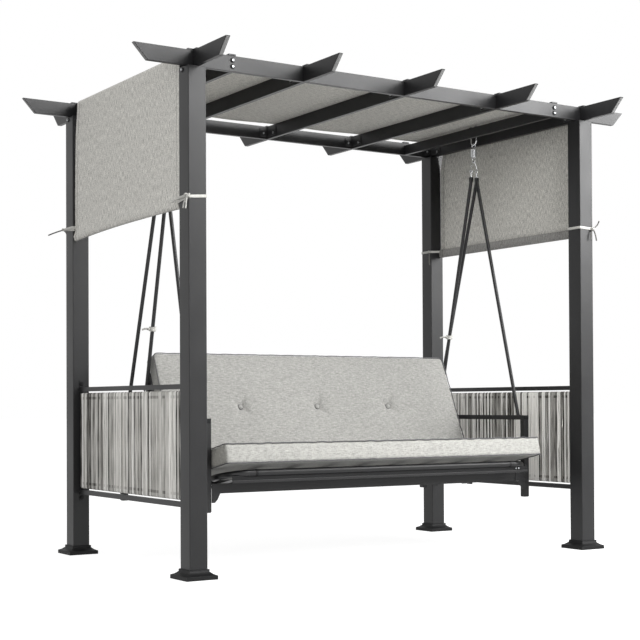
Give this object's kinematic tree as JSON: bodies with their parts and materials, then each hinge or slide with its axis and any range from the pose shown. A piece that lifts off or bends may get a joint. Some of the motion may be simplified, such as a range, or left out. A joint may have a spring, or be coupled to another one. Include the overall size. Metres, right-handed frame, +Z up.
{
  "type": "canopy patio swing",
  "caption": "Free-standing garden swing sofa hung on springs under a post-and-beam stand with a cloth canopy, woven rope side panels and a reclining backrest.",
  "frame": {"origin": "on the ground, under the middle of the stand", "axes": "X runs along the seat, to the right as seen from in front; Y runs to the back; Z is up"},
  "size_m": [2.6226, 1.6806, 2.0927],
  "materials": {
    "charcoal_steel": "charcoal powder coat, satin",
    "black_plastic": "black moulded plastic, satin",
    "chrome": "bright plated steel",
    "canopy_cloth": "heathered grey-beige woven canopy cloth",
    "cushion_cloth": "light heathered grey woven cloth over foam",
    "rope": "mixed grey flat rope",
    "tie_cloth": "light grey cloth cord"
  },
  "bodies": {
    "stand": {"post_front_left": "charcoal_steel", "post_front_right": "charcoal_steel", "post_rear_left": "charcoal_steel", "post_rear_right": "charcoal_steel", "beam_front": "charcoal_steel", "beam_rear": "charcoal_steel", "rafter_left_end": "charcoal_steel", "rafter_left": "charcoal_steel", "rafter_middle": "charcoal_steel", "rafter_right": "charcoal_steel", "rafter_right_end": "charcoal_steel", "tail_front_left_end": "charcoal_steel", "tail_front_left": "charcoal_steel", "tail_front_middle": "charcoal_steel", "tail_front_right": "charcoal_steel", "tail_front_right_end": "charcoal_steel", "tail_rear_left_end": "charcoal_steel", "tail_rear_left": "charcoal_steel", "tail_rear_middle": "charcoal_steel", "tail_rear_right": "charcoal_steel", "tail_rear_right_end": "charcoal_steel", "tail_left_front": "charcoal_steel", "tail_left_rear": "charcoal_steel", "tail_right_front": "charcoal_steel", "tail_right_rear": "charcoal_steel", "swing_rail_left": "charcoal_steel", "swing_rail_right": "charcoal_steel", "side_panel_frame_left": "charcoal_steel", "side_panel_frame_right": "charcoal_steel", "foot_cover_front_left": "black_plastic", "foot_cover_front_right": "black_plastic", "foot_cover_rear_left": "black_plastic", "foot_cover_rear_right": "black_plastic", "u_bolt_left": "chrome", "u_bolt_right": "chrome", "rope_winding_left": "rope", "rope_winding_right": "rope", "canopy_cloth": "canopy_cloth", "tie_cord_left": "tie_cloth", "tie_cord_right": "tie_cloth"},
    "suspension": {"spring_left": "chrome", "spring_right": "chrome"},
    "swing": {"link_left": "chrome", "link_right": "chrome", "v_hanger_left": "charcoal_steel", "v_hanger_right": "charcoal_steel", "back_stay_left": "charcoal_steel", "back_stay_right": "charcoal_steel", "stay_tie_left": "tie_cloth", "stay_tie_right": "tie_cloth", "arm_frame_left": "charcoal_steel", "arm_frame_right": "charcoal_steel", "hinge_pin_left": "chrome", "hinge_pin_right": "chrome", "base_bar_front": "charcoal_steel", "base_bar_rear": "charcoal_steel", "seat_frame": "charcoal_steel", "seat_cushion": "cushion_cloth"},
    "backrest": {"backrest_frame": "charcoal_steel", "back_cushion": "cushion_cloth"}
  },
  "joints": [
    {"name": "seat_swing", "type": "hinge", "parent": "stand", "child": "suspension", "pos_m": [0, 0, 1.9885], "axis": [1, 0, 0], "range_deg": [-20, 20]},
    {"name": "spring_stretch", "type": "slide", "parent": "suspension", "child": "swing", "axis": [0, 0, -1], "range_m": [0, 0.012], "stiffness_N_per_m": 90000, "springref_m": -0.014, "deforming": ["spring_left", "spring_right"]},
    {"name": "backrest_recline", "type": "hinge", "parent": "swing", "child": "backrest", "pos_m": [0, 0.04, 0.3], "axis": [-1, 0, 0], "range_deg": [0, 59]}
  ]
}
